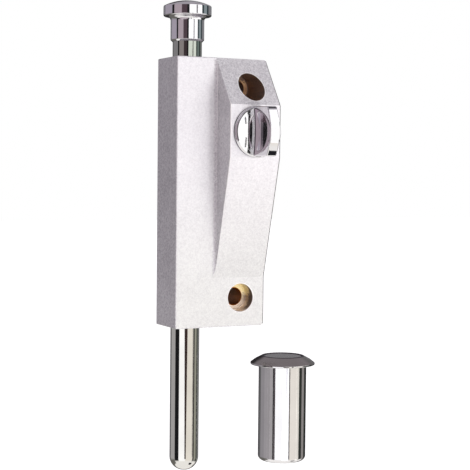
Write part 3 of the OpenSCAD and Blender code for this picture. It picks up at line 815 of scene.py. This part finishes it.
# the photographs of lock and socket were taken apart, so neither shows in the other's reflections
for ob in (rod, cup, flange, disc):
    ob.visible_glossy = False

# ------------------------------------------------------------------ floor
def floor():
    # low enough that the rod's tip stays above it when the bolt is thrown
    bpy.ops.mesh.primitive_plane_add(size=6.0, location=(0, 0, (TIP_Z - 15.35) * MM))
    ob = bpy.context.object
    ob.name = "floor"
    n = Net("floor")
    col = n.mix(n.remap(n.noise(0.004, 2.0), 0.3, 0.7, 0.0, 1.0), (0.93, 0.93, 0.93), (0.96, 0.96, 0.96))
    n.set(color=col, rough=0.9, spec=0.0)
    n.bsdf.inputs["Emission Color"].default_value = (1, 1, 1, 1)
    n.bsdf.inputs["Emission Strength"].default_value = 0.80
    ob.data.materials.append(n.mat)
    ob.visible_glossy = False
    ob.visible_diffuse = False
    ob.visible_shadow = False       # light comes from below its level, too
    return ob


floor()

# ------------------------------------------------------------------ studio: white room with soft boxes and dark gaps between them
def studio():
    w = bpy.data.worlds.new("studio")
    scene.world = w
    w.use_nodes = True
    t = w.node_tree
    t.nodes.clear()

    def node(kind, **props):
        x = t.nodes.new(kind)
        for k, v in props.items():
            setattr(x, k, v)
        return x

    def m(op, a, b=0.0, clamp=False):
        x = node("ShaderNodeMath", operation=op, use_clamp=clamp)
        for s, v in zip(x.inputs, (a, b)):
            if hasattr(v, "links"):
                t.links.new(v, s)
            else:
                s.default_value = v
        return x.outputs[0]

    tc = node("ShaderNodeTexCoord")
    sep = node("ShaderNodeSeparateXYZ")
    t.links.new(tc.outputs["Generated"], sep.inputs[0])
    x, y, z = sep.outputs
    # angle around the vertical: 0 is straight in front of the door, positive to the right
    angle = m("ARCTAN2", x, m("MULTIPLY", y, -1.0))
    a01 = m("ADD", m("MULTIPLY", angle, 1 / (2 * math.pi)), 0.5)

    def ramp(v, stops, mode="LINEAR"):
        r = node("ShaderNodeValToRGB")
        t.links.new(v, r.inputs["Fac"])
        r.color_ramp.interpolation = mode
        while len(r.color_ramp.elements) < len(stops):
            r.color_ramp.elements.new(0.5)
        for e, (p, c) in zip(r.color_ramp.elements, stops):
            e.position = p
            e.color = (*c, 1.0)
        return r.outputs["Color"]

    def bands(table):
        """table: (degrees, colour) with a short blend at each border"""
        stops = []
        for i, (deg, col) in enumerate(table):
            p = (deg + 180.0) / 360.0
            if i:
                stops.append((max(p - 0.0035, 0), table[i - 1][1]))
            stops.append((min(max(p + 0.0035, 0), 1) if i else 0.0, col))
        return ramp(a01, stops[:32])

    def blend(f, a, b):
        x = node("ShaderNodeMix", data_type="RGBA")
        t.links.new(f, x.inputs["Factor"])
        for s, v in ((x.inputs[6], a), (x.inputs[7], b)):
            if hasattr(v, "links"):
                t.links.new(v, s)
            else:
                s.default_value = (*v, 1.0)
        return x.outputs[2]

    def within(v, lo, hi, soft_edge):
        """1 between lo and hi, 0 outside, with a soft edge."""
        mid, half = (lo + hi) / 2, (hi - lo) / 2
        off = m("ABSOLUTE", m("SUBTRACT", v, mid))
        return m("ADD", m("MULTIPLY", m("SUBTRACT", half, off), 1.0 / soft_edge), 0.5, clamp=True)

    deg = m("MULTIPLY", angle, 180.0 / math.pi)
    black, gap = (0.012, 0.012, 0.013), (0.035, 0.032, 0.036)
    upper = bands([(-180, (0.24, 0.23, 0.25)), (-155.5, (0.41, 0.37, 0.43)), (-103, black), (-90.6, (0.47, 0.39, 0.43)), (-52, (0.095, 0.064, 0.077)),
                   (-26, black), (-15, (1.35, 1.35, 1.35)), (49.6, (0.033, 0.053, 0.056)), (60.8, (0.28, 0.33, 0.34)),
                   (82, (0.03, 0.045, 0.05)), (95, (0.24, 0.24, 0.25)), (155, gap)])
    lower = bands([(-180, (0.14, 0.14, 0.14)), (-156, (0.31, 0.295, 0.305)), (-105, black), (-68.6, (1.25, 1.25, 1.25)), (-15.3, (0.96, 0.91, 0.82)),
                   (46.5, (0.035, 0.04, 0.033)), (112, (0.03, 0.03, 0.03)), (155, gap)])
    # a dark gap between two white boards, narrower lower down
    width = m("ADD", m("MULTIPLY", z, 72.0), 20.7)
    gap_mask = m("ADD", m("MULTIPLY", m("SUBTRACT", width, m("ABSOLUTE", m("ADD", deg, 15.3))), 0.7), 0.5, clamp=True)
    lower = blend(gap_mask, lower, (0.05, 0.032, 0.028))
    side = blend(m("ADD", m("MULTIPLY", z, 22.0), 0.75, clamp=True), lower, upper)
    # above: an even, dimmer ceiling; below: the pale floor
    high = blend(m("MULTIPLY", m("SUBTRACT", z, 0.42), 6.0, clamp=True), side, (0.40, 0.375, 0.41))
    low = blend(m("MULTIPLY", m("SUBTRACT", m("MULTIPLY", z, -1.0), 0.42), 6.0, clamp=True), high, (1.02, 1.0, 0.96))
    # behind, low down: a darker wall
    behind = m("MULTIPLY", m("MULTIPLY", m("SUBTRACT", m("ABSOLUTE", deg), 105.0), 0.2, clamp=True), within(z, -0.72, -0.3, 0.05))
    low = blend(behind, low, (0.16, 0.155, 0.14))
    # two dark things in front, one below and one above
    dark1 = m("MULTIPLY", within(deg, 31.0, 66.0, 2.0), within(z, -0.86, -0.69, 0.02))
    dark2 = m("MULTIPLY", within(deg, 46.0, 75.0, 3.0), within(z, 0.805, 0.95, 0.02))
    low = blend(m("MAXIMUM", dark1, dark2), low, (0.015, 0.015, 0.018))

    glossy = node("ShaderNodeBackground")
    t.links.new(low, glossy.inputs["Color"])
    soft = node("ShaderNodeBackground")
    soft.inputs["Color"].default_value = (0.405, 0.39, 0.41, 1.0)
    white = node("ShaderNodeBackground")
    white.inputs["Color"].default_value = (1.0, 1.0, 1.0, 1.0)
    lp = node("ShaderNodeLightPath")
    m1 = node("ShaderNodeMixShader")
    t.links.new(lp.outputs["Is Glossy Ray"], m1.inputs[0])
    t.links.new(soft.outputs[0], m1.inputs[1])
    t.links.new(glossy.outputs[0], m1.inputs[2])
    m2 = node("ShaderNodeMixShader")
    t.links.new(lp.outputs["Is Camera Ray"], m2.inputs[0])
    t.links.new(m1.outputs[0], m2.inputs[1])
    t.links.new(white.outputs[0], m2.inputs[2])
    out = node("ShaderNodeOutputWorld")
    t.links.new(m2.outputs[0], out.inputs[0])


studio()


def soft_box(name, at, aim, size, power, color=(1, 1, 1)):
    d = bpy.data.lights.new(name, "AREA")
    d.shape = "RECTANGLE"
    d.size, d.size_y = size
    d.energy = power
    d.color = color
    ob = bpy.data.objects.new(name, d)
    scene.collection.objects.link(ob)
    at, aim = Vector(at), Vector(aim)
    ob.matrix_world = Matrix.Translation(at) @ (aim - at).to_track_quat("-Z", "Y").to_matrix().to_4x4()
    ob.visible_glossy = False
    return ob


soft_box("key", (0.18, -1.13, -0.24), (0, 0, 0), (0.42, 0.7), 16.1)


def card(az, el, colour, shown_in, centre):
    """A far, evenly lit board between two azimuths and two elevations, seen only in the reflections of some pieces."""
    far = 2.0
    a, e = math.radians((az[0] + az[1]) / 2), math.radians((el[0] + el[1]) / 2)
    away = Vector((math.sin(a) * math.cos(e), -math.cos(a) * math.cos(e), math.sin(e)))
    w = 2 * far * math.tan(math.radians(az[1] - az[0]) / 2)
    h = 2 * far * math.tan(math.radians(el[1] - el[0]) / 2)
    level = max(colour)
    ob = soft_box("board", centre + away * far, centre, (w, h), level * math.pi * w * h, tuple(c / level for c in colour))
    ob.visible_glossy = True
    ob.visible_diffuse = False
    ob.visible_camera = False
    ob.light_linking.receiver_collection = shown_in
    return ob


def pieces_only(name, *obs):
    """A group that a board can be limited to."""
    group = bpy.data.collections.new(name)
    for ob in obs:
        group.objects.link(ob)
    return group


socket_only = pieces_only("socket_only", cup)
foot = Vector((SX, SY, -95.0)) * MM
for az, colour in (((-125, -105), (0.06, 0.055, 0.055)), ((-105, -90), (0.36, 0.34, 0.345)),
                   ((-90, -75), (0.42, 0.395, 0.40)), ((-26.0, -8.0), (1.3, 1.3, 1.3)), ((-8.0, 4.0), (0.45, 0.5, 0.6)),
                   ((45.5, 60), (0.86, 0.82, 0.74)), ((80, 101), (0.27, 0.245, 0.24))):
    card(az, (-40, 14), colour, socket_only, foot)

rod_only = pieces_only("rod_only", rod)
low_rod = Vector((RX, RY, -85.0)) * MM
for az, colour in (((-156, -105), (0.13, 0.135, 0.125)), ((60, 82), (0.33, 0.32, 0.27)), ((97, 158), (0.19, 0.19, 0.19))):
    card(az, (-24, -1.5), colour, rod_only, low_rod)

turn_only = pieces_only("turn_only", knob_turn)
hub = Vector((TX, TY - 3.0, TZ)) * MM
for az, el, colour in (((-54, -33.5), (-2, 45), (0.36, 0.31, 0.35)), ((-25.7, -15), (-2, 45), (0.75, 0.74, 0.75)),
                       ((50, 88), (-2, 24), (1.25, 1.25, 1.25)), ((8, 56), (24, 52), (0.9, 0.92, 0.9))):
    card(az, el, colour, turn_only, hub)


# ------------------------------------------------------------------ small boards near the pieces, seen only in their reflections
def near_board(name, centre, radius, az, z, table, steps=90):
    """An upright curved board around a vertical line. table: (degrees, colour), each up to the next one's degrees."""
    cx, cy = centre
    edges = sorted({az[0], az[1], *[d for d, c in table if az[0] < d < az[1]], *[az[0] + (az[1] - az[0]) * i / steps for i in range(steps + 1)]})
    verts, faces, mats = [], [], []
    for d in edges:
        t = math.radians(d)
        for h in z:
            verts.append(((cx + radius * math.sin(t)) * MM, (cy - radius * math.cos(t)) * MM, h * MM))
    for i in range(len(edges) - 1):
        faces.append((2 * i, 2 * i + 2, 2 * i + 3, 2 * i + 1))
        mid = (edges[i] + edges[i + 1]) / 2
        mats.append(max(k for k, (d, c) in enumerate(table) if k == 0 or d <= mid))
    me = bpy.data.meshes.new(name)
    me.from_pydata(verts, [], faces)
    me.update()
    for k, (d, c) in enumerate(table):
        n = Net("%s_%d" % (name, k))
        n.set(color=(0.0, 0.0, 0.0), rough=1.0, spec=0.0)
        level = max(c)
        n.bsdf.inputs["Emission Color"].default_value = (*[v / level for v in c], 1.0)
        n.bsdf.inputs["Emission Strength"].default_value = level
        me.materials.append(n.mat)
    for p, k in zip(me.polygons, mats):
        p.material_index = k
    ob = bpy.data.objects.new(name, me)
    scene.collection.objects.link(ob)
    ob.visible_camera = ob.visible_diffuse = ob.visible_shadow = ob.visible_transmission = ob.visible_volume_scatter = False
    return ob


dark = (0.012, 0.011, 0.012)
near_board("board_turn", (TX - 2, TY - 3), 150.0, (-90, 88), (-48, 58),
           [(-90, (0.47, 0.39, 0.43)), (-33.5, (0.125, 0.11, 0.125)), (-31.3, (0.05, 0.045, 0.05)), (-30.3, dark), (-24.4, (0.78, 0.77, 0.78)),
            (-15, (1.3, 1.29, 1.27))])
near_board("board_turn_strip", (TX - 6.2, TY - 1.6), 148.0, (11.3, 12.9), (-18, 12), [(11.3, dark)], 2)
near_board("board_turn_strip_high", (TX - 6.2, TY - 1.6), 148.0, (11.0, 12.6), (52, 74), [(11.0, dark)], 2)
near_board("board_turn_gap", (TX - 2.2, TY - 13.8), 60.0, (-20.0, -12.0), (-8, 63), [(-20.0, dark)], 4)
for name, z in (("high", (64, 118)), ("low", (-64, -19))):
    near_board("board_turn_end_" + name, (TX - 2, TY - 3), 148.0, (14.0, 22.5), z, [(14.0, dark), (18.6, (0.55, 0.53, 0.54))], 4)
# two dark strips beside the floor socket
near_board("board_socket_left", (27.5, -16.8), 25.0, (-69.5, -62.0), (-125, -60), [(-69.5, (0.06, 0.04, 0.048))], 3)
near_board("board_socket_right", (33.0, -19.9), 50.0, (4.0, 9.5), (-125, -60), [(4.0, (0.10, 0.09, 0.085))], 3)
